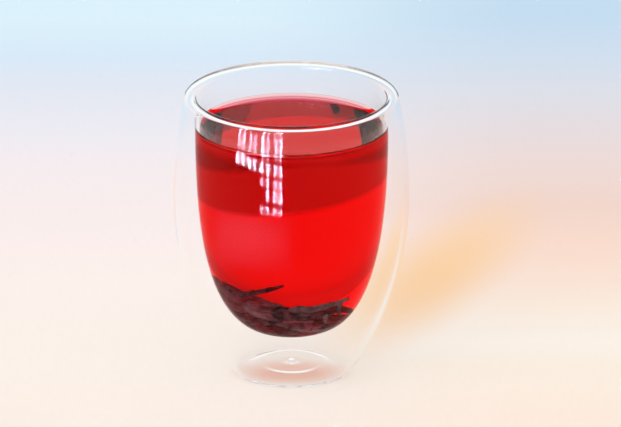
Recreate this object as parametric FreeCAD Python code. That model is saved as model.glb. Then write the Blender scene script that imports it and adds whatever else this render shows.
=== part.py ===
"""A double-walled glass tumbler filled with hibiscus tea.

The tumbler is blown and flame-worked borosilicate glass: an egg-shaped outer wall and a U-shaped
inner bowl, fused into one round lip, with a sealed air space between them. Its foot is pushed up
in the middle, where a small pip closes the hole that let the hot air out. The tea stands in the
bowl up to its level and climbs the glass a little at its edge.

Millimetres, +Z up. The origin is the middle of the foot's resting ring, on the table.
"""
import FreeCAD
import Part

import math
import os

# Overall sizes
glass_height = 103.0        # table to the top of the lip
rim_radius = 38.0           # outside of the lip
foot_radius = 19.6         # outer edge of the ring that the glass stands on

# Outer wall
belly_height = 65.3         # where the outer wall is widest
belly_swell = 3.6          # how far the belly stands out beyond the lip
outer_wall = 1.5
heel_radius = 2.0           # outside corner between the wall and the foot
inner_heel_radius = 1.4     # the same corner seen from inside the air space

# Lip and inner bowl
lip_bead_radius = 2.4       # the fused lip is a round bead
inner_wall = 1.5
mouth_flare = 0.75           # how much wider the mouth is than the bowl below it
neck_drop = 11.0            # the flare starts this far below the top of the lip
bowl_lift = 15.6            # table to the underside of the bowl
bowl_floor_thickness = 1.8
bowl_side_power = 2.5      # how straight the bowl's sides stay
bowl_floor_power = 3.42     # how full the bowl's bottom is

# Foot
floor_thickness = 1.7
resting_width = 1.3         # width of the resting ring
kick_height = 1.9           # how far the middle of the foot is pushed up
kick_pad_radius = 10.3      # the flat in the middle of the pushed-up foot
pip_radius = 2.1
pip_rise = 0.8              # above the floor of the air space
pip_drop = 0.5              # below the pushed-up foot, clear of the table

# Tea
tea_headspace = 12.7        # top of the lip down to the tea
meniscus_height = 1.6       # how far the tea climbs the glass
meniscus_width = 3.4

# Fullness of the small bends: 0.5 is straight, 1 is square
kick_fullness = 0.62        # shoulder of the pushed-up foot
pip_fullness = 0.72         # side of the pip
meniscus_fullness = 0.76    # hollow of the tea's edge

# Fineness of the bowl's curve
bowl_curve_points = 18

# Worked out from the sizes above
belly_radius = rim_radius + belly_swell
lip_centre = (rim_radius - lip_bead_radius, glass_height - lip_bead_radius)
heel_centre = (foot_radius, heel_radius)
bowl_radius = rim_radius - 2 * lip_bead_radius - mouth_flare
neck_height = glass_height - neck_drop
bowl_floor_height = bowl_lift + bowl_floor_thickness
tea_level = glass_height - tea_headspace


def point(radius, height):
    """A point of a profile, in the plane that is turned about Z."""
    return FreeCAD.Vector(radius, 0, height)


def line(a, b):
    return Part.LineSegment(point(*a), point(*b)).toShape()


def arc(a, middle, b):
    return Part.Arc(point(*a), point(*middle), point(*b)).toShape()


def bend(level_end, steep_end, fullness):
    """An arc that stays near the height of its first end for most of its way to the second."""
    middle = (
        (level_end[0] + steep_end[0]) / 2,
        steep_end[1] + (level_end[1] - steep_end[1]) * fullness,
    )
    return arc(level_end, middle, steep_end)


def arc_about(centre, radius, a, b):
    """The shorter arc from a to b about a centre."""
    start = math.atan2(a[1] - centre[1], a[0] - centre[0])
    end = math.atan2(b[1] - centre[1], b[0] - centre[0])
    sweep = (end - start + math.pi) % (2 * math.pi) - math.pi
    half = start + sweep / 2
    middle = (centre[0] + radius * math.cos(half), centre[1] + radius * math.sin(half))
    return arc(a, middle, b)


def turned(edges):
    """The solid made by turning a closed profile about Z."""
    face = Part.Face(Part.Wire(edges))
    return face.revolve(FreeCAD.Vector(0, 0, 0), FreeCAD.Vector(0, 0, 1), 360)


def wall_arc_radius(reach, height, bead):
    """Radius of the arc that is upright at one end and runs smoothly into a bead at the other.

    reach and height go from the upright end to the bead's centre, across and along the axis.
    """
    return (reach**2 + height**2 - bead**2) / (2 * (reach - bead))


def touching_point(centre, radius, bead_centre):
    """Where a bead that lies inside an arc touches it."""
    across = bead_centre[0] - centre[0]
    up = bead_centre[1] - centre[1]
    scale = radius / math.hypot(across, up)
    return (centre[0] + across * scale, centre[1] + up * scale)


def bead_between(centre_a, radius_a, centre_b, radius_b):
    """The upper point that is radius_a from centre_a and radius_b from centre_b."""
    dx = centre_b[0] - centre_a[0]
    dz = centre_b[1] - centre_a[1]
    apart = math.hypot(dx, dz)
    along = (radius_a**2 - radius_b**2 + apart**2) / (2 * apart)
    aside = math.sqrt(radius_a**2 - along**2)
    choices = [
        (
            centre_a[0] + (along * dx - side * aside * dz) / apart,
            centre_a[1] + (along * dz + side * aside * dx) / apart,
        )
        for side in (1, -1)
    ]
    return max(choices, key=lambda p: p[1])


# The three arcs that shape the walls: shoulder and flank outside, flare inside the mouth
shoulder_radius = wall_arc_radius(
    belly_radius - lip_centre[0], lip_centre[1] - belly_height, lip_bead_radius)
flank_radius = wall_arc_radius(
    belly_radius - heel_centre[0], belly_height - heel_centre[1], heel_radius)
flare_radius = wall_arc_radius(
    lip_centre[0] - bowl_radius, lip_centre[1] - neck_height, lip_bead_radius)
shoulder_centre = (belly_radius - shoulder_radius, belly_height)
flank_centre = (belly_radius - flank_radius, belly_height)
flare_centre = (bowl_radius + flare_radius, neck_height)


def bowl_edge(thickness, floor_height):
    """The bowl's curve from its lowest point up to the neck, as one spline.

    thickness is 0 for the inside of the bowl and the wall's own for the outside.
    """
    radius = bowl_radius + thickness
    depth = neck_height - floor_height
    points = []
    for i in range(bowl_curve_points):
        turn = math.pi / 2 * i / (bowl_curve_points - 1)
        across = math.sin(turn) ** (2 / bowl_floor_power)
        down = max(0.0, math.cos(turn)) ** (2 / bowl_side_power)
        points.append(point(radius * across, neck_height - depth * down))
    points[-1] = point(radius, neck_height)
    curve = Part.BSplineCurve()
    curve.interpolate(
        Points=points,
        InitialTangent=FreeCAD.Vector(1, 0, 0),
        FinalTangent=FreeCAD.Vector(0, 0, 1),
    )
    return curve.toShape()


def bowl_wall_radius(height):
    """Inside radius of the bowl at a height, in its mouth or below the neck."""
    rise = height - neck_height
    if rise > 0:
        return flare_centre[0] - math.sqrt(flare_radius**2 - rise**2)
    down = -rise / (neck_height - bowl_floor_height)
    return bowl_radius * (1 - down**bowl_side_power) ** (1 / bowl_floor_power)


def glass_outside():
    """The tumbler as if it had no air space: outer wall, lip, inside of the bowl and foot."""
    shoulder_end = touching_point(shoulder_centre, shoulder_radius, lip_centre)
    flare_end = touching_point(flare_centre, flare_radius, lip_centre)
    flank_end = touching_point(flank_centre, flank_radius, heel_centre)
    belly = (belly_radius, belly_height)
    heel_foot = (foot_radius, 0)
    ring_inside = (foot_radius - resting_width, 0)
    kick_edge = (kick_pad_radius, kick_height)
    pip_edge = (pip_radius, kick_height)
    pip_tip = (0, kick_height - pip_drop)
    lip_top = (lip_centre[0], glass_height)
    return turned([
        bend(pip_tip, pip_edge, pip_fullness),
        line(pip_edge, kick_edge),
        bend(kick_edge, ring_inside, kick_fullness),
        line(ring_inside, heel_foot),
        arc_about(heel_centre, heel_radius, heel_foot, flank_end),
        arc_about(flank_centre, flank_radius, flank_end, belly),
        arc_about(shoulder_centre, shoulder_radius, belly, shoulder_end),
        arc(shoulder_end, lip_top, flare_end),
        arc_about(flare_centre, flare_radius, flare_end, (bowl_radius, neck_height)),
        bowl_edge(0, bowl_floor_height),
        line((0, bowl_floor_height), pip_tip),
    ])


def air_space():
    """The sealed space between the outer wall and the bowl."""
    top_radius = (2 * lip_bead_radius - outer_wall - inner_wall) / 2
    wall_shoulder = shoulder_radius - outer_wall
    wall_flank = flank_radius - outer_wall
    wall_flare = flare_radius - inner_wall
    top_centre = bead_between(
        shoulder_centre, wall_shoulder - top_radius, flare_centre, wall_flare - top_radius)
    top_outer = touching_point(shoulder_centre, wall_shoulder, top_centre)
    top_inner = touching_point(flare_centre, wall_flare, top_centre)
    crown = (top_centre[0], top_centre[1] + top_radius)

    corner_height = floor_thickness + inner_heel_radius
    corner_reach = math.sqrt(
        (wall_flank - inner_heel_radius)**2 - (corner_height - belly_height)**2)
    corner_centre = (flank_centre[0] + corner_reach, corner_height)
    corner_wall = touching_point(flank_centre, wall_flank, corner_centre)
    corner_floor = (corner_centre[0], floor_thickness)

    floor_height = kick_height + floor_thickness
    pad_edge = (kick_pad_radius, floor_height)
    pip_edge = (pip_radius, floor_height)
    pip_top = (0, floor_height + pip_rise)
    belly = (belly_radius - outer_wall, belly_height)
    neck = (bowl_radius + inner_wall, neck_height)
    return turned([
        bend(pip_top, pip_edge, pip_fullness),
        line(pip_edge, pad_edge),
        bend(pad_edge, corner_floor, kick_fullness),
        arc_about(corner_centre, inner_heel_radius, corner_floor, corner_wall),
        arc_about(flank_centre, wall_flank, corner_wall, belly),
        arc_about(shoulder_centre, wall_shoulder, belly, top_outer),
        arc(top_outer, crown, top_inner),
        arc_about(flare_centre, wall_flare, top_inner, neck),
        bowl_edge(inner_wall, bowl_lift),
        line((0, bowl_lift), pip_top),
    ])


def make_glass():
    return glass_outside().cut(air_space())


def make_tea():
    """Fills the bowl to its level, with the edge drawn up the glass."""
    brim = glass_height
    brim_radius = bowl_wall_radius(brim)
    bowl_room = turned([
        bowl_edge(0, bowl_floor_height),
        arc_about(
            flare_centre, flare_radius, (bowl_radius, neck_height), (brim_radius, brim)),
        line((brim_radius, brim), (0, brim)),
        line((0, brim), (0, bowl_floor_height)),
    ])
    edge_height = tea_level + meniscus_height
    edge_radius = bowl_wall_radius(edge_height)
    flat_radius = edge_radius - meniscus_width
    beyond = edge_radius + meniscus_width
    above_tea = turned([
        line((0, tea_level), (flat_radius, tea_level)),
        bend((flat_radius, tea_level), (edge_radius, edge_height), meniscus_fullness),
        line((edge_radius, edge_height), (beyond, edge_height)),
        line((beyond, edge_height), (beyond, brim + meniscus_width)),
        line((beyond, brim + meniscus_width), (0, brim + meniscus_width)),
        line((0, brim + meniscus_width), (0, tea_level)),
    ])
    return bowl_room.cut(above_tea)


def write(name, shape):
    """Writes one closed solid as a STEP file."""
    solids = shape.Solids
    if len(solids) != 1 or not solids[0].isValid():
        raise ValueError(f"{name} is not one valid solid")
    solids[0].exportStep(f"parts/{name}.step")
    print(f"{name}: {solids[0].Volume / 1000:.1f} ml")


os.makedirs("parts", exist_ok=True)
write("glass", make_glass())
write("tea", make_tea())
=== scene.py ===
"""Looks of the hibiscus tea: clear double-walled glass, deep red tea and sunk calyx pieces."""

import math
import random

import bmesh
import bpy
from mathutils import Matrix, Vector, noise


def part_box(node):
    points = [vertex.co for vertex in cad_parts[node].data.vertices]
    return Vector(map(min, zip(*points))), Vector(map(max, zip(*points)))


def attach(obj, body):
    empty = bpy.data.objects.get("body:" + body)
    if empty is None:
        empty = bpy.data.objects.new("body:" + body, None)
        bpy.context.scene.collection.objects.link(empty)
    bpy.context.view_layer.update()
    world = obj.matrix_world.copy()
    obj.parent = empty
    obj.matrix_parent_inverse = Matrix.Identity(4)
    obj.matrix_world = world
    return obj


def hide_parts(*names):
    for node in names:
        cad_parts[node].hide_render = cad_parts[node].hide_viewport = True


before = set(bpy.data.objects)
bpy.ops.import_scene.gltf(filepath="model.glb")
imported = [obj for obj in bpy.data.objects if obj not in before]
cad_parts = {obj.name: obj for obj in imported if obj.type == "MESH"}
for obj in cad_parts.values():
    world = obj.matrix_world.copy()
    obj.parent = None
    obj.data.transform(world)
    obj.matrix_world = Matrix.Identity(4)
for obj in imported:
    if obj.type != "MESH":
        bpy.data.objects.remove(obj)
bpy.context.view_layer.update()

MM = 0.001

# ---------------------------------------------------------------- sizes of the glass, in mm
glass_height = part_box("glass")[1][2] / MM
rim_radius = 38.0
foot_radius = 19.6
belly_height = 65.3
belly_swell = 3.6
outer_wall = 1.5
heel_radius = 2.0
inner_heel_radius = 1.4
lip_bead_radius = 2.4
inner_wall = 1.5
mouth_flare = 0.75
neck_drop = 11.0
bowl_lift = 15.6
bowl_floor_thickness = 1.8
bowl_side_power = 2.5
bowl_floor_power = 3.42
floor_thickness = 1.7
resting_width = 1.3
kick_height = 1.9
kick_pad_radius = 10.3
pip_radius = 2.1
pip_rise = 0.8
pip_drop = 0.5
tea_headspace = 12.7
meniscus_height = 1.6
meniscus_width = 3.4
tea_reach = 0.25            # how far the tea runs into the glass, so that no air gap shows

# painted shade: a band in the upper tea, where a tint on the tea's skin darkens what passes it
painted_shade_band_low = 70.0        # height of the painted shade band's lower edge, in the middle of the tea
painted_shade_band_low_blur = 1.4    # how far that edge blurs up and down
painted_shade_band_rise = 0.12       # how far that edge rises for each mm to the right
painted_shade_band_high = 87.5
painted_shade_band_high_blur = 2.0

belly_radius = rim_radius + belly_swell
lip_centre = (rim_radius - lip_bead_radius, glass_height - lip_bead_radius)
heel_centre = (foot_radius, heel_radius)
bowl_radius = rim_radius - 2 * lip_bead_radius - mouth_flare
neck_height = glass_height - neck_drop
bowl_floor_height = bowl_lift + bowl_floor_thickness
tea_level = glass_height - tea_headspace

TURN_STEPS = 160                    # steps of each full turn
SHARP_ANGLE = math.radians(35)      # an edge bent more than this stays a crisp edge

# power that each skin's mirrored share is raised to: 1 is plain glass, and more mirrors less
DIM_OUTSIDE, DIM_AIR_SPACE, DIM_DRY_BOWL, DIM_WETTED_BOWL = 1.5, 2.2, 1.1, 4.0
DIM_TEA_SIDE, DIM_TEA_TOP = 3.0, 1.5


def linear(hex_colour):
    """An sRGB hex colour as the linear values that Blender's sockets take."""
    values = [int(hex_colour[i:i + 2], 16) / 255 for i in (1, 3, 5)]
    return tuple(v / 12.92 if v <= 0.04045 else ((v + 0.055) / 1.055)**2.4 for v in values) + (1.0,)


# ---------------------------------------------------------------- materials

def new_material(name):
    material = bpy.data.materials.new(name)
    material.use_nodes = True
    material.node_tree.nodes.clear()
    return material


def add_node(material, kind, settings=None, inputs=None, links=None):
    """Adds a node; settings are its properties, inputs its values, links come from (node, output)."""
    node = material.node_tree.nodes.new(kind)
    for key, value in (settings or {}).items():
        setattr(node, key, value)
    for key, value in (inputs or {}).items():
        node.inputs[key].default_value = value
    for key, (source, output) in (links or {}).items():
        material.node_tree.links.new(source.outputs[output], node.inputs[key])
    return node


def seen_plainly(material):
    """1 for what is seen, also in or through glass and tea, and 0 for light that falls on matte things."""
    ray = add_node(material, "ShaderNodeLightPath")
    seen = add_node(material, "ShaderNodeMath", settings={"operation": "MAXIMUM"},
                    links={0: (ray, "Is Camera Ray"), 1: (ray, "Is Glossy Ray")})
    return add_node(material, "ShaderNodeMath", settings={"operation": "MAXIMUM"},
                    links={0: (seen, "Value"), 1: (ray, "Is Transmission Ray")})


def fire_polished_borosilicate():
    """Blown borosilicate glass, fire-polished: clear, mirror-smooth, and very slightly wavy."""
    material = new_material("borosilicate_glass_fire_polished")
    place = add_node(material, "ShaderNodeTexCoord")
    # hand-blown walls waver over a few centimetres round the glass and hardly at all up it
    stretch = add_node(material, "ShaderNodeMapping", inputs={"Scale": (55.0, 55.0, 14.0)},
                       links={"Vector": (place, "Object")})
    waver = add_node(material, "ShaderNodeTexNoise",
                     inputs={"Scale": 1.0, "Detail": 1.0, "Roughness": 0.4},
                     links={"Vector": (stretch, "Vector")})
    bump = add_node(material, "ShaderNodeBump", inputs={"Strength": 0.25, "Distance": 0.0012},
                    links={"Height": (waver, "Fac")})
    dimming = add_node(material, "ShaderNodeAttribute", settings={"attribute_name": "dimming"})
    skin = clear_surface(material, 1.47, (dimming, "Fac"), bump)
    add_node(material, "ShaderNodeOutputMaterial", links={"Surface": (skin, "Shader")})
    return material


def clear_surface(material, ior, dimming, bump=None, tint=None):
    """A mirror-smooth clear surface: it mirrors Fresnel's share to the power of dimming.

    So a faint mirror image almost goes, and the full one, where no light gets out, stays.
    tint colours what passes through.
    """
    bent = {"Normal": (bump, "Normal")} if bump else {}
    fresnel = add_node(material, "ShaderNodeFresnel", inputs={"IOR": ior}, links=bent)
    share = add_node(material, "ShaderNodeMath", settings={"operation": "POWER"},
                     links={0: (fresnel, "Fac"), 1: dimming})
    through = add_node(material, "ShaderNodeBsdfRefraction",
                       inputs={"Color": (1.0, 1.0, 1.0, 1.0), "Roughness": 0.0, "IOR": ior},
                       links={**bent, "Color": tint} if tint else bent)
    mirror = add_node(material, "ShaderNodeBsdfAnisotropic",
                      inputs={"Color": (1.0, 1.0, 1.0, 1.0), "Roughness": 0.0}, links=bent)
    return add_node(material, "ShaderNodeMixShader",
                    links={0: (share, "Value"), 1: (through, "BSDF"), 2: (mirror, "BSDF")})


def steeped_hibiscus_tea():
    """Hibiscus tea: a clear liquid that lets red through and takes green and blue within mm."""
    material = new_material("hibiscus_tea_clear_red")
    body = add_node(material, "ShaderNodeVolumeAbsorption",
                    inputs={"Color": (0.9985, 0.0, 0.2, 1.0), "Density": 520.0})
    # the open surface mirrors as water does, and the sides hardly at all, because they lie on glass
    place = add_node(material, "ShaderNodeTexCoord")
    split = add_node(material, "ShaderNodeSeparateXYZ", links={"Vector": (place, "Object")})
    power = add_node(material, "ShaderNodeMapRange",
                     inputs={"From Min": (tea_level - 0.3) * MM, "From Max": (tea_level - 0.1) * MM,
                             "To Min": DIM_TEA_SIDE, "To Max": DIM_TEA_TOP},
                     links={"Value": (split, "Z")})
    # painted shade: a band in the upper third is tinted darker, with an edge that rises a little to the
    # right
    rise = add_node(material, "ShaderNodeMath", settings={"operation": "MULTIPLY_ADD"},
                    inputs={1: -painted_shade_band_rise}, links={0: (split, "X"), 2: (split, "Z")})
    depth = add_node(material, "ShaderNodeMapRange", settings={"interpolation_type": "SMOOTHSTEP"},
                     inputs={"From Min": (painted_shade_band_low - painted_shade_band_low_blur) * MM,
                             "From Max": (painted_shade_band_low + painted_shade_band_low_blur) * MM},
                     links={"Value": (rise, "Value")})
    # it ends about where light that leaves at its lower edge came in, so that most passes it once
    painted_shade_band_top = add_node(material, "ShaderNodeMapRange", settings={"interpolation_type": "SMOOTHSTEP"},
                        inputs={"From Min": (painted_shade_band_high - painted_shade_band_high_blur) * MM,
                                "From Max": (painted_shade_band_high + painted_shade_band_high_blur) * MM,
                                "To Min": 1.0, "To Max": 0.0}, links={"Value": (split, "Z")})
    # painted shade: the flat of the open surface is tinted nearly as dark as the band, and its raised edge
    # is left pale
    flat = add_node(material, "ShaderNodeMapRange",
                    inputs={"From Min": (tea_level - 0.3) * MM, "From Max": (tea_level - 0.1) * MM,
                            "To Max": 0.7}, links={"Value": (split, "Z")})
    edge = add_node(material, "ShaderNodeMapRange",
                    inputs={"From Min": (tea_level + 0.05) * MM, "From Max": (tea_level + 0.5) * MM,
                            "To Min": 1.0, "To Max": 0.0}, links={"Value": (split, "Z")})
    painted_shade_band = add_node(material, "ShaderNodeMath", settings={"operation": "MULTIPLY"},
                    links={0: (painted_shade_band_top, "Result"), 1: (depth, "Result")})
    painted_shade_surface = add_node(material, "ShaderNodeMath", settings={"operation": "MULTIPLY"},
                   links={0: (flat, "Result"), 1: (edge, "Result")})
    where = add_node(material, "ShaderNodeMath", settings={"operation": "MAXIMUM"},
                     links={0: (painted_shade_band, "Value"), 1: (painted_shade_surface, "Value")})
    # painted shade: this tint darkens what passes the skin in the band and on the flat of the surface
    tint = add_node(material, "ShaderNodeMix", settings={"data_type": "RGBA"},
                    inputs={"A": (1.0, 1.0, 1.0, 1.0), "B": (0.60, 0.5, 0.55, 1.0)},
                    links={"Factor": (where, "Value")})
    skin = clear_surface(material, 1.33, (power, "Result"), tint=(tint, "Result"))
    add_node(material, "ShaderNodeOutputMaterial",
             links={"Surface": (skin, "Shader"), "Volume": (body, "Volume")})
    return material


def soaked_calyx():
    """Dried roselle calyx, soaked: leathery, wet and ribbed along its length.

    Its own colour is a grey-green, because the red tea over it turns that to a dark grey-brown.
    """
    material = new_material("soaked_hibiscus_calyx")
    place = add_node(material, "ShaderNodeTexCoord")
    split = add_node(material, "ShaderNodeSeparateXYZ", links={"Vector": (place, "UV")})
    # seven ribs run from the base of each lobe to its tip, 1 to 2 mm apart
    phase = add_node(material, "ShaderNodeMath", settings={"operation": "MULTIPLY"},
                     inputs={1: 44.0}, links={0: (split, "X")})
    ribs = add_node(material, "ShaderNodeMath", settings={"operation": "SINE"},
                    links={0: (phase, "Value")})
    # blotches about 4 mm across
    blotch = add_node(material, "ShaderNodeTexNoise",
                      inputs={"Scale": 260.0, "Detail": 4.0, "Roughness": 0.6},
                      links={"Vector": (place, "Object")})
    own = add_node(material, "ShaderNodeAttribute", settings={"attribute_name": "tone"})
    shade = add_node(material, "ShaderNodeMath", settings={"operation": "MULTIPLY_ADD"},
                     inputs={1: 0.35}, links={0: (own, "Fac"), 2: (blotch, "Fac")})
    colour = add_node(material, "ShaderNodeValToRGB", links={"Fac": (shade, "Value")})
    set_stops(colour, ((0.45, "#343d3a"), (0.95, "#c6d8d2")))
    relief = add_node(material, "ShaderNodeMath", settings={"operation": "MULTIPLY_ADD"},
                      inputs={1: 0.5}, links={0: (ribs, "Value"), 2: (blotch, "Fac")})
    bump = add_node(material, "ShaderNodeBump", inputs={"Strength": 0.7, "Distance": 0.0003},
                    links={"Height": (relief, "Value")})
    shader = add_node(material, "ShaderNodeBsdfPrincipled",
                      inputs={"Roughness": 0.38, "IOR": 1.42, "Subsurface Weight": 0.12,
                              "Subsurface Radius": (0.002, 0.0006, 0.0006)},
                      links={"Base Color": (colour, "Color"), "Normal": (bump, "Normal")})
    add_node(material, "ShaderNodeOutputMaterial", links={"Surface": (shader, "BSDF")})
    return material


def set_stops(ramp, stops):
    """Gives a colour ramp its stops, each a place and an sRGB hex colour."""
    elements = ramp.color_ramp.elements
    while len(elements) < len(stops):
        elements.new(1.0)
    for element, (place, shade) in zip(elements, stops):
        element.position = place
        element.color = linear(shade)


def matte_card_sweep():
    """Matte card under and behind the glass: cream near, and pale blue far back.

    Painted on it is the light that has come through the tea: pink under the foot, and peach to the right.
    """
    material = new_material("matte_card_sweep")
    place = add_node(material, "ShaderNodeTexCoord")
    split = add_node(material, "ShaderNodeSeparateXYZ", links={"Vector": (place, "Object")})
    back = add_node(material, "ShaderNodeMapRange", inputs={"From Min": -0.06, "From Max": 0.40},
                    links={"Value": (split, "Y")})
    side = add_node(material, "ShaderNodeMapRange",
                    settings={"interpolation_type": "SMOOTHSTEP"},
                    inputs={"From Min": -0.03, "From Max": 0.09}, links={"Value": (split, "X")})
    left = add_node(material, "ShaderNodeValToRGB", links={"Fac": (back, "Result")})
    set_stops(left, ((0.0, "#fdf0e7"), (0.14, "#fdf3ea"), (0.32, "#fef3ed"), (0.41, "#fdf0ee"),
                     (0.50, "#faefee"), (0.60, "#f7eef1"), (0.69, "#eeedf5"), (0.78, "#e5eaf4"),
                     (0.87, "#daebfa"), (0.96, "#ddf3fe")))
    # painted light: the right side's middle stops are peach, a glow of light that came through the tea
    right = add_node(material, "ShaderNodeValToRGB", links={"Fac": (back, "Result")})
    set_stops(right, ((0.0, "#feecde"), (0.14, "#fdf1e3"), (0.19, "#fef5eb"), (0.28, "#feeee0"),
                      (0.32, "#fee8da"), (0.41, "#fcdfd0"), (0.50, "#f4d9ce"), (0.60, "#f0ddd9"),
                      (0.69, "#e8dfe2"), (0.78, "#dfe2eb"), (0.87, "#d2e1f1"), (0.96, "#c7dff3")))
    colour = add_node(material, "ShaderNodeMix", settings={"data_type": "RGBA"},
                      links={"Factor": (side, "Result"), "A": (left, "Color"), "B": (right, "Color")})
    # painted pools of light that came through the tea, peach to the right and pink under the foot: place,
    # half sizes, turn and colour of each, and the shares of its half size where it starts and ends to fade
    for spot, size, turn, shade, inner, outer in (
            ((0.052, 0.098, 0.0), (0.031, 0.112, 1.0), -20, "#fed7ad", 0.1, 1.0),
            ((0.0, -0.005, 0.0), (0.023, 0.014, 1.0), 0, "#f6c8b6", 0.3, 1.1)):
        painted_light_pool = add_node(material, "ShaderNodeMapping", settings={"vector_type": "TEXTURE"},
                        inputs={"Location": spot, "Scale": size,
                                "Rotation": (0.0, 0.0, math.radians(turn))},
                        links={"Vector": (place, "Object")})
        reach = add_node(material, "ShaderNodeVectorMath", settings={"operation": "LENGTH"},
                         links={0: (painted_light_pool, "Vector")})
        lit = add_node(material, "ShaderNodeMapRange", settings={"interpolation_type": "SMOOTHSTEP"},
                       inputs={"From Min": inner, "From Max": outer, "To Min": 1.0, "To Max": 0.0},
                       links={"Value": (reach, "Value")})
        colour = add_node(material, "ShaderNodeMix", settings={"data_type": "RGBA"},
                          inputs={"B": linear(shade)},
                          links={"Factor": (lit, "Result"), "A": (colour, "Result")})
    card = add_node(material, "ShaderNodeBsdfPrincipled",
                    inputs={"Roughness": 0.9, "Specular IOR Level": 0.2},
                    links={"Base Color": (colour, "Result")})
    glow = add_node(material, "ShaderNodeEmission", inputs={"Strength": 1.0},
                    links={"Color": (colour, "Result")})
    # what the camera, the glass and the tea see is mostly the card's own colour, and partly as lit
    part = add_node(material, "ShaderNodeMath", settings={"operation": "MULTIPLY"}, inputs={1: 0.8},
                    links={0: (seen_plainly(material), "Value")})
    mixed = add_node(material, "ShaderNodeMixShader",
                     links={0: (part, "Value"), 1: (card, "BSDF"), 2: (glow, "Emission")})
    add_node(material, "ShaderNodeOutputMaterial", links={"Surface": (mixed, "Shader")})
    return material


# ---------------------------------------------------------------- outlines, in mm

def wall_arc_radius(reach, height, bead):
    """Radius of the arc that is upright at one end and runs smoothly into a bead at the other."""
    return (reach**2 + height**2 - bead**2) / (2 * (reach - bead))


def touching_point(centre, radius, bead_centre):
    """Where a bead that lies inside an arc touches it."""
    across, up = bead_centre[0] - centre[0], bead_centre[1] - centre[1]
    scale = radius / math.hypot(across, up)
    return (centre[0] + across * scale, centre[1] + up * scale)


def bead_between(centre_a, radius_a, centre_b, radius_b):
    """The upper point that is radius_a from centre_a and radius_b from centre_b."""
    dx, dz = centre_b[0] - centre_a[0], centre_b[1] - centre_a[1]
    apart = math.hypot(dx, dz)
    along = (radius_a**2 - radius_b**2 + apart**2) / (2 * apart)
    aside = math.sqrt(radius_a**2 - along**2)
    choices = [(centre_a[0] + (along * dx - side * aside * dz) / apart,
                centre_a[1] + (along * dz + side * aside * dx) / apart) for side in (1, -1)]
    return max(choices, key=lambda p: p[1])


def arc(centre, radius, start, end, steps):
    """Points along the shorter arc from start to end, without the last."""
    first = math.atan2(start[1] - centre[1], start[0] - centre[0])
    last = math.atan2(end[1] - centre[1], end[0] - centre[0])
    sweep = (last - first + math.pi) % (2 * math.pi) - math.pi
    return [(centre[0] + radius * math.cos(first + sweep * i / steps),
             centre[1] + radius * math.sin(first + sweep * i / steps)) for i in range(steps)]


def slope(start, end, steps):
    """A soft S between two heights, level at both ends, without its last point."""
    points = []
    for i in range(steps):
        t = i / steps
        ease = t * t * (3 - 2 * t)
        points.append((start[0] + (end[0] - start[0]) * t, start[1] + (end[1] - start[1]) * ease))
    return points


shoulder_radius = wall_arc_radius(
    belly_radius - lip_centre[0], lip_centre[1] - belly_height, lip_bead_radius)
flank_radius = wall_arc_radius(
    belly_radius - heel_centre[0], belly_height - heel_centre[1], heel_radius)
flare_radius = wall_arc_radius(
    lip_centre[0] - bowl_radius, lip_centre[1] - neck_height, lip_bead_radius)
shoulder_centre = (belly_radius - shoulder_radius, belly_height)
flank_centre = (belly_radius - flank_radius, belly_height)
flare_centre = (bowl_radius + flare_radius, neck_height)


def bowl_wall_radius(height, thickness=0.0, floor_height=None):
    """Radius of the bowl's wall at a height, from its lowest point up to the lip."""
    floor_height = bowl_floor_height if floor_height is None else floor_height
    if height >= neck_height:
        rise = height - neck_height
        return flare_centre[0] - math.sqrt((flare_radius - thickness)**2 - rise**2)
    down = min(1.0, (neck_height - height) / (neck_height - floor_height))
    return (bowl_radius + thickness) * (1 - down**bowl_side_power)**(1 / bowl_floor_power)


def bowl_curve(thickness, floor_height, steps=72):
    """The bowl's curve from the neck down to its lowest point on the axis."""
    depth = neck_height - floor_height
    points = []
    for i in range(steps + 1):
        turn = math.pi / 2 * (1 - i / steps)
        across = math.sin(turn)**(2 / bowl_floor_power)
        down = max(0.0, math.cos(turn))**(2 / bowl_side_power)
        points.append(((bowl_radius + thickness) * across, neck_height - depth * down))
    points[-1] = (0.0, floor_height)
    return points


def glass_outline():
    """From the middle of the foot, up the outside, over the lip and down into the bowl."""
    shoulder_end = touching_point(shoulder_centre, shoulder_radius, lip_centre)
    flare_end = touching_point(flare_centre, flare_radius, lip_centre)
    flank_end = touching_point(flank_centre, flank_radius, heel_centre)
    lip_top = (lip_centre[0], glass_height)
    belly = (belly_radius, belly_height)
    neck = (bowl_radius, neck_height)
    ring_inside = (foot_radius - resting_width, 0.0)
    return (
        slope((0.0, kick_height - pip_drop), (pip_radius, kick_height), 6)
        + slope((pip_radius, kick_height), (kick_pad_radius, kick_height), 3)
        + slope((kick_pad_radius, kick_height), ring_inside, 12)
        + [ring_inside]
        + arc(heel_centre, heel_radius, (foot_radius, 0.0), flank_end, 10)
        + arc(flank_centre, flank_radius, flank_end, belly, 30)
        + arc(shoulder_centre, shoulder_radius, belly, shoulder_end, 20)
        + arc(lip_centre, lip_bead_radius, shoulder_end, lip_top, 12)
        + arc(lip_centre, lip_bead_radius, lip_top, flare_end, 12)
        + arc(flare_centre, flare_radius, flare_end, neck, 10)
        + bowl_curve(0.0, bowl_floor_height))


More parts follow.
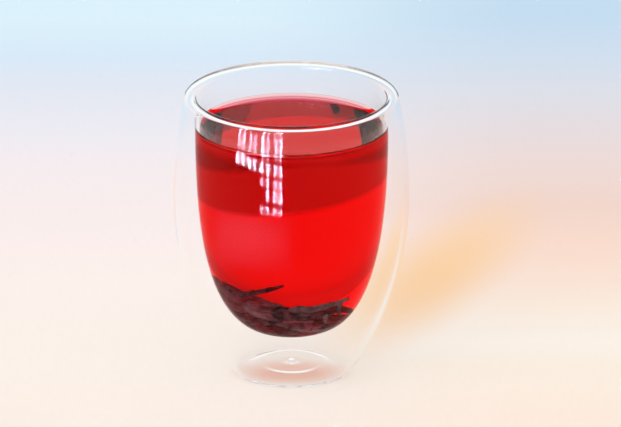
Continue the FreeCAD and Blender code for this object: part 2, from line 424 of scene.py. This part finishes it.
def air_outline():
    """The sealed air space, from the middle of its floor, up the outer wall and down the bowl."""
    top_radius = (2 * lip_bead_radius - outer_wall - inner_wall) / 2
    wall_shoulder = shoulder_radius - outer_wall
    wall_flank = flank_radius - outer_wall
    wall_flare = flare_radius - inner_wall
    top_centre = bead_between(
        shoulder_centre, wall_shoulder - top_radius, flare_centre, wall_flare - top_radius)
    top_outer = touching_point(shoulder_centre, wall_shoulder, top_centre)
    top_inner = touching_point(flare_centre, wall_flare, top_centre)
    crown = (top_centre[0], top_centre[1] + top_radius)
    corner_height = floor_thickness + inner_heel_radius
    corner_reach = math.sqrt((wall_flank - inner_heel_radius)**2 - (corner_height - belly_height)**2)
    corner = (flank_centre[0] + corner_reach, corner_height)
    corner_wall = touching_point(flank_centre, wall_flank, corner)
    belly = (belly_radius - outer_wall, belly_height)
    neck = (bowl_radius + inner_wall, neck_height)
    pad_height = kick_height + floor_thickness
    corner_floor = (corner[0], floor_thickness)
    return (
        slope((0.0, pad_height + pip_rise), (pip_radius, pad_height), 6)
        + slope((pip_radius, pad_height), (kick_pad_radius, pad_height), 3)
        + slope((kick_pad_radius, pad_height), corner_floor, 12)
        + arc(corner, inner_heel_radius, corner_floor, corner_wall, 8)
        + arc(flank_centre, wall_flank, corner_wall, belly, 30)
        + arc(shoulder_centre, wall_shoulder, belly, top_outer, 20)
        + arc(top_centre, top_radius, top_outer, crown, 8)
        + arc(top_centre, top_radius, crown, top_inner, 8)
        + arc(flare_centre, wall_flare, top_inner, neck, 10)
        + bowl_curve(inner_wall, bowl_lift))


def tea_outline():
    """From the middle of the tea's surface, out over the meniscus and down the bowl."""
    edge_height = tea_level + meniscus_height
    edge_radius = bowl_wall_radius(edge_height)
    start = edge_radius - meniscus_width
    points = [(start * i / 6, tea_level) for i in range(6)]
    for i in range(17):
        t = i / 16
        points.append((start + meniscus_width * t, tea_level + meniscus_height * t**3))
    points.append((edge_radius + tea_reach, edge_height))
    points.append((edge_radius + tea_reach, edge_height - 0.05))
    down = bowl_curve(tea_reach, bowl_floor_height - tea_reach)
    return points + [point for point in down if point[1] < edge_height - 0.1]


# ---------------------------------------------------------------- pieces

def finish_piece(mesh_name, form, material):
    """Makes an object of a bmesh, smooth, and gives it its material."""
    mesh = bpy.data.meshes.new(mesh_name)
    form.to_mesh(mesh)
    form.free()
    mesh.shade_smooth()
    mesh.materials.append(material)
    piece = bpy.data.objects.new(mesh_name, mesh)
    bpy.context.collection.objects.link(piece)
    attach(piece, "root")
    return piece


def turn_outline(form, outline):
    """Turns an outline that starts and ends on the axis into a closed skin."""
    verts = [form.verts.new((r * MM, 0.0, z * MM)) for r, z in outline]
    edges = [form.edges.new(pair) for pair in zip(verts, verts[1:])]
    bmesh.ops.spin(
        form, geom=verts + edges, cent=(0, 0, 0), axis=(0, 0, 1), dvec=(0, 0, 0),
        angle=math.tau, steps=TURN_STEPS, use_merge=True, use_normal_flip=False)


def close_up(form, outwards=True, merge=1e-7):
    """Merges the seam and poles, and points every face of the closed skin one way."""
    bmesh.ops.remove_doubles(form, verts=form.verts, dist=merge)
    bmesh.ops.dissolve_degenerate(form, edges=form.edges, dist=merge)
    bmesh.ops.recalc_face_normals(form, faces=form.faces)
    if (form.calc_volume(signed=True) > 0) != outwards:
        bmesh.ops.reverse_faces(form, faces=form.faces)
    for edge in form.edges:
        edge.smooth = edge.calc_face_angle(0.0) < SHARP_ANGLE


def make_glass(material):
    """The tumbler: its outside skin, and the skin of its air space turned to face inwards."""
    form = bmesh.new()
    dimming = form.verts.layers.float.new("dimming")
    turn_outline(form, glass_outline())
    close_up(form)
    for vert in form.verts:
        across, height = math.hypot(vert.co.x, vert.co.y) / MM, vert.co.z / MM
        in_bowl = height > bowl_floor_height - 0.1 and across < bowl_radius + 0.1
        # inside the bowl the dry wall mirrors nearly fully, and the wetted one hardly at all
        if not in_bowl:
            vert[dimming] = DIM_OUTSIDE
        elif height > tea_level + meniscus_height:
            vert[dimming] = DIM_DRY_BOWL
        else:
            vert[dimming] = DIM_WETTED_BOWL
    space = bmesh.new()
    dimming = space.verts.layers.float.new("dimming")
    turn_outline(space, air_outline())
    close_up(space, outwards=False)
    for vert in space.verts:
        vert[dimming] = DIM_AIR_SPACE
    hollow = bpy.data.meshes.new("air_space")
    space.to_mesh(hollow)
    space.free()
    form.from_mesh(hollow)
    bpy.data.meshes.remove(hollow)
    return finish_piece("double_wall_tumbler", form, material)


def make_tea(material):
    """The tea up to its level, with its edge drawn up the glass, running just into the wall."""
    form = bmesh.new()
    turn_outline(form, tea_outline())
    close_up(form)
    return finish_piece("hibiscus_tea", form, material)


# ---------------------------------------------------------------- sunk calyx pieces, in mm

def inside_bowl(spot, clearance):
    """Moves a point that is in or beyond the bowl's wall back to just inside it."""
    across = math.hypot(spot.x, spot.y)
    down = max(0.0, neck_height - spot.z)
    reach, depth = bowl_radius - clearance, neck_height - bowl_floor_height - clearance
    for _ in range(6):
        fill = (across / reach)**bowl_floor_power + (down / depth)**bowl_side_power
        if fill <= 1:
            break
        shrink = fill**(-1 / max(bowl_floor_power, bowl_side_power))
        across, down = across * shrink, down * shrink
    flat = math.hypot(spot.x, spot.y)
    scale = across / flat if flat > 1e-6 else 1.0
    return Vector((spot.x * scale, spot.y * scale, neck_height - down))


def bezier(points, t):
    """A point on the smooth line that starts, bends and ends as its three or four points say."""
    while len(points) > 1:
        points = [a.lerp(b, t) for a, b in zip(points, points[1:])]
    return points[0]


def add_lobe(form, tone_layer, uv_layer, line, width, facing, curl, twist, tone, chance,
             thickness=0.7, wrinkle=0.7, tip=0.85):
    """One lobe of a soaked calyx: broad near its base, drawn out to a point, cupped and crumpled.

    line is its length in three or four points, facing the side that its hollow looks to.
    """
    verts = bmesh.ops.create_grid(form, x_segments=8, y_segments=34, size=1.0)["verts"]
    faces = {face for vert in verts for face in vert.link_faces}
    seed = Vector((chance.uniform(0, 50), chance.uniform(0, 50), chance.uniform(0, 50)))
    points = [Vector(p) for p in line]
    facing = Vector(facing).normalized()
    for face in faces:
        for loop in face.loops:
            loop[uv_layer].uv = ((loop.vert.co.x + 1) / 2, (loop.vert.co.y + 1) / 2)
    for vert in verts:
        across, t = vert.co.x, (vert.co.y + 1) / 2
        vert[tone_layer] = tone
        middle = bezier(points, t)
        along = (bezier(points, min(1, t + 0.02)) - bezier(points, max(0, t - 0.02))).normalized()
        side = along.cross(facing).normalized()
        out = side.cross(along)
        turn = Matrix.Rotation(math.radians(twist) * (t - 0.5), 3, along)
        side, out = turn @ side, turn @ out
        # half its width swells from a pinched base and is drawn out to the tip
        half = width / 2 * (0.28 + t)**0.4 * max(0.02, 1 - t)**tip * 1.35 * min(1, 0.15 + t * 8)
        ruffle = noise.noise(seed + Vector((across * 1.3, t * 5.0, 0))) * wrinkle
        edge = noise.noise(seed + Vector((0, t * 9.0, 7 + across))) * 0.22
        reach = across * half * (1 + edge)
        lift = curl * half * across * across + ruffle
        lift += noise.noise(seed + Vector((across * 3.0, t * 13.0, 3))) * wrinkle * 0.35
        vert.co = inside_bowl(middle + side * reach + out * lift, 0.15 + thickness)
    bmesh.ops.solidify(form, geom=list(faces), thickness=thickness)


def on_wall(degrees, height, off=0.8):
    """A spot just off the bowl's wall; degrees run from the right over the back and the left."""
    reach = bowl_wall_radius(height) - off
    return Vector((reach * math.cos(math.radians(degrees)), reach * math.sin(math.radians(degrees)),
                   height))


def along_wall(start, end, sag=0.0):
    """A line on the bowl's wall between two places, each its degrees and height, in four points."""
    line = []
    for i in range(4):
        t = i / 3
        height = start[1] + (end[1] - start[1]) * t - sag * math.sin(math.pi * t)
        line.append(on_wall(start[0] + (end[0] - start[0]) * t, height))
    return line


def calyx_heap(chance):
    """Where each lobe lies: its line, width, facing, curl and twist."""
    heap = []
    floor = bowl_floor_height + 1.0
    # a bed of lobes spread over the bottom of the bowl
    for i in range(11):
        angle = math.tau * i / 11 + chance.uniform(-0.25, 0.25)
        far = chance.uniform(15, 19)
        lean = chance.uniform(0.4, 1.1)
        heap.append(([(math.cos(angle) * 3, math.sin(angle) * 3, floor + chance.uniform(0, 3)),
                      (math.cos(angle + lean / 3) * far * 0.7, math.sin(angle + lean / 3) * far * 0.7,
                       floor + chance.uniform(1, 3)),
                      (math.cos(angle + lean) * far, math.sin(angle + lean) * far,
                       floor + chance.uniform(3, 6))],
                     chance.uniform(9, 13), (0, 0, 1), chance.uniform(0.2, 0.7),
                     chance.uniform(-60, 60)))
    # long lobes pressed against the wall, high on the left and falling to the front right
    pressed = (
        ((172, 35.5), (262, 34.0), 7.0), ((205, 35.5), (286, 29.5), 7.5), ((178, 30.0), (252, 31.0), 8.0),
        ((228, 32.0), (290, 26.5), 8.0), ((186, 25.5), (262, 27.0), 8.0), ((246, 27.5), (318, 22.5), 7.0),
        ((210, 21.5), (292, 22.5), 7.0), ((275, 23.5), (348, 22.5), 6.5), ((252, 30.5), (312, 29.0), 6.0),
        ((300, 20.5), (352, 21.5), 6.5))
    for start, end, width in pressed:
        middle = math.radians((start[0] + end[0]) / 2)
        facing = (-math.cos(middle), -math.sin(middle), 0.25)
        heap.append((along_wall(start, end, chance.uniform(-1.0, 1.0)), width, facing,
                     chance.uniform(0.0, 0.3), chance.uniform(-20, 20)))
    # a loose layer behind them, leaning on the left
    for i in range(8):
        angle = math.radians(150 + 24 * i + chance.uniform(-8, 8))
        low = floor + chance.uniform(3, 6)
        high = floor + chance.uniform(9, 13) - 0.9 * i
        heap.append(([(-math.cos(angle) * 6, -math.sin(angle) * 6, low),
                      (math.cos(angle) * 8, math.sin(angle) * 8, (low + high) / 2 + 2),
                      (math.cos(angle + 0.5) * 21, math.sin(angle + 0.5) * 21, high)],
                     chance.uniform(8, 11), (0, 0, 1), chance.uniform(-0.3, 0.6),
                     chance.uniform(-70, 70)))
    return heap


def make_calyx_lobes(material):
    """The heap of whole lobes at the bottom of the bowl."""
    chance = random.Random(7)
    form = bmesh.new()
    tone_layer = form.verts.layers.float.new("tone")
    uv_layer = form.loops.layers.uv.new("lobe")
    for line, width, facing, curl, twist in calyx_heap(chance):
        add_lobe(form, tone_layer, uv_layer, line, width, facing, curl, twist,
                 chance.random(), chance)
    return finish_calyx("calyx_lobes", form, material)


def make_calyx_shreds(material):
    """Thin torn strips that stand off the heap."""
    chance = random.Random(3)
    form = bmesh.new()
    tone_layer = form.verts.layers.float.new("tone")
    uv_layer = form.loops.layers.uv.new("lobe")
    strips = [
        ([(-21, -16, 35), (-14, -22, 37), (-9, -24, 39), (-2.5, -24.5, 41.5)], 1.7, (0, -1, 0.4), 25),
        ([(-1, -26, 29), (8, -24.5, 29.5), (14, -21.5, 32.5), (20, -16.5, 31.5)], 3.4, (0, -0.6, 1), 30),
        ([(16, -19.5, 32), (17.5, -18, 29.5), (15.5, -18.5, 27.5), (17, -16, 24)], 2.4, (0.3, -1, 0), 40),
        ([(11, -20, 28.5), (12.5, -20, 26), (11, -19, 24), (12, -17, 22)], 2.0, (0.3, -1, 0), -40),
        ([(-6, 10, 25), (2, 12, 27), (9, 9, 28), (15, 4, 26)], 3.4, (0, 0, 1), 70),
    ]
    for line, width, facing, twist in strips:
        add_lobe(form, tone_layer, uv_layer, line, width, facing, 0.3, twist, chance.random(),
                 chance, thickness=0.5, wrinkle=0.35, tip=0.5)
    return finish_calyx("calyx_shreds", form, material)


def finish_calyx(name, form, material):
    """Brings a piece worked out in mm to the scene's size and finishes it."""
    for vert in form.verts:
        vert.co *= MM
    bmesh.ops.recalc_face_normals(form, faces=form.faces)
    return finish_piece(name, form, material)


# ---------------------------------------------------------------- light, floor and camera

def aim(thing, place, target):
    """Puts a thing in its place, looking at the target."""
    thing.location = place
    direction = Vector(target) - Vector(place)
    thing.rotation_euler = direction.to_track_quat("-Z", "Y").to_euler()


def make_world():
    """A pale room, lighter in one large soft round low at the front left."""
    world = bpy.data.worlds.new("studio")
    bpy.context.scene.world = world
    world.use_nodes = True
    world.node_tree.nodes.clear()
    place = add_node(world, "ShaderNodeTexCoord")
    azimuth, elevation = math.radians(-40), math.radians(27)
    towards = (math.sin(azimuth) * math.cos(elevation), -math.cos(azimuth) * math.cos(elevation),
               math.sin(elevation))
    facing = add_node(world, "ShaderNodeVectorMath", settings={"operation": "DOT_PRODUCT"},
                      inputs={1: towards}, links={0: (place, "Generated")})
    softbox = add_node(world, "ShaderNodeMapRange", settings={"interpolation_type": "SMOOTHSTEP"},
                       inputs={"From Min": math.cos(math.radians(38)),
                               "From Max": math.cos(math.radians(22)),
                               "To Min": 0.72, "To Max": 2.6},
                       links={"Value": (facing, "Value")})
    # the camera, glass and tea see a white room
    strength = add_node(world, "ShaderNodeMix", settings={"data_type": "FLOAT"}, inputs={"B": 1.0},
                        links={"Factor": (seen_plainly(world), "Value"), "A": (softbox, "Result")})
    glow = add_node(world, "ShaderNodeBackground", inputs={"Color": linear("#fffdfb")},
                    links={"Strength": (strength, "Result")})
    add_node(world, "ShaderNodeOutputWorld", links={"Surface": (glow, "Background")})


def make_floor():
    """A wide round of card, 0.1 mm under the foot."""
    form = bmesh.new()
    bmesh.ops.create_circle(form, cap_ends=True, segments=96, radius=4.0)
    bmesh.ops.translate(form, verts=form.verts, vec=(0, 0, -0.0001))
    mesh = bpy.data.meshes.new("floor")
    form.to_mesh(mesh)
    form.free()
    mesh.materials.append(matte_card_sweep())
    floor = bpy.data.objects.new("floor", mesh)
    bpy.context.collection.objects.link(floor)


def window_daylight():
    """Cool daylight, as bright at each point as the mesh says.

    It reaches the floor only where the glass mirrors it there, and hardly shows in the tea.
    """
    material = new_material("window_daylight")
    shine = add_node(material, "ShaderNodeAttribute", settings={"attribute_name": "shine"})
    glow = add_node(material, "ShaderNodeEmission", inputs={"Color": (1.0, 0.92, 1.25, 1.0)},
                    links={"Strength": (shine, "Fac")})
    add_node(material, "ShaderNodeOutputMaterial", links={"Surface": (glow, "Emission")})
    material.cycles.emission_sampling = "NONE"
    return material


def make_window():
    """A window of many upright panes at the front left, seen only in mirror images on the glass."""
    distance = 0.30
    pane_half_width = 0.0075
    daylight = 150          # seen from the front, the glass mirrors less than a hundredth of it
    chance = random.Random(11)
    form = bmesh.new()
    shine = form.verts.layers.float.new("shine")
    # each row's lower and upper height in mm, its share of the daylight, and how many panes it has
    rows = ((4, 15, 0.7, 4), (22, 40, 1.2, 3), (44, 56, 0.8, 4), (61, 77, 1.5, 8),
            (83, 120, 1.2, 8), (128, 158, 0.9, 8), (168, 200, 0.9, 8), (208, 262, 0.9, 8))
    for low, high, bright, columns in rows:
        for column in range(columns):
            azimuth = math.radians(-10.5 - 5.2 * column - 1.3 * (column // 2))
            middle = Vector((distance * math.sin(azimuth), -distance * math.cos(azimuth),
                             (low + high) / 2 * MM + (column - 4) * MM))
            side = Vector((math.cos(azimuth), math.sin(azimuth), 0)) * pane_half_width
            up = Vector((0, 0, (high - low) / 2 * MM))
            corners = [form.verts.new(middle + a * side + b * up)
                       for a, b in ((-1, -1), (1, -1), (1, 1), (-1, 1))]
            form.faces.new(corners)
            level = daylight * bright * chance.uniform(0.4, 1.5)
            for corner in corners:
                corner[shine] = level
    # a soft patch of its light on the floor in front, also seen only in mirror images
    lit = bmesh.ops.create_grid(form, x_segments=14, y_segments=10, size=1.0)["verts"]
    for vert in lit:
        fade = max(0.0, 1 - vert.co.x**2) * max(0.0, 1 - vert.co.y**2)
        azimuth = math.radians(-37 + 38 * vert.co.x)
        reach = 0.200 + 0.090 * vert.co.y
        vert.co = (reach * math.sin(azimuth), -reach * math.cos(azimuth), 0.001)
        vert[shine] = 1.0 + 4.5 * fade
    mesh = bpy.data.meshes.new("window")
    form.to_mesh(mesh)
    form.free()
    mesh.materials.append(window_daylight())
    window = bpy.data.objects.new("window", mesh)
    bpy.context.collection.objects.link(window)
    for kind in ("camera", "diffuse", "transmission", "shadow"):
        setattr(window, f"visible_{kind}", False)


def make_camera():
    """Looks down on the glass from the front, from far enough off to be nearly without perspective."""
    distance = 5.0
    elevation = math.radians(19.65)
    view_width = 0.2190
    target = Vector((0.0067, 0.0, 0.0582))
    lens = bpy.data.cameras.new("camera")
    lens.sensor_width = 36.0
    lens.lens = lens.sensor_width * distance / view_width
    lens.clip_start = 0.05
    camera = bpy.data.objects.new("camera", lens)
    bpy.context.collection.objects.link(camera)
    aim(camera, target + Vector((0, -math.cos(elevation), math.sin(elevation))) * distance, target)
    bpy.context.scene.camera = camera


bpy.context.scene.view_settings.view_transform = "Standard"
# light meets many skins of glass and tea on its way, and is mirrored over 50 times inside the walls
bpy.context.scene.cycles.max_bounces = 120
bpy.context.scene.cycles.transmission_bounces = 120
bpy.context.scene.cycles.glossy_bounces = 120
make_camera()
make_world()
make_floor()
make_window()

glass = make_glass(fire_polished_borosilicate())
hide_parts("glass")
tea = make_tea(steeped_hibiscus_tea())
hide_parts("tea")

calyx = soaked_calyx()
for piece in (make_calyx_lobes(calyx), make_calyx_shreds(calyx)):
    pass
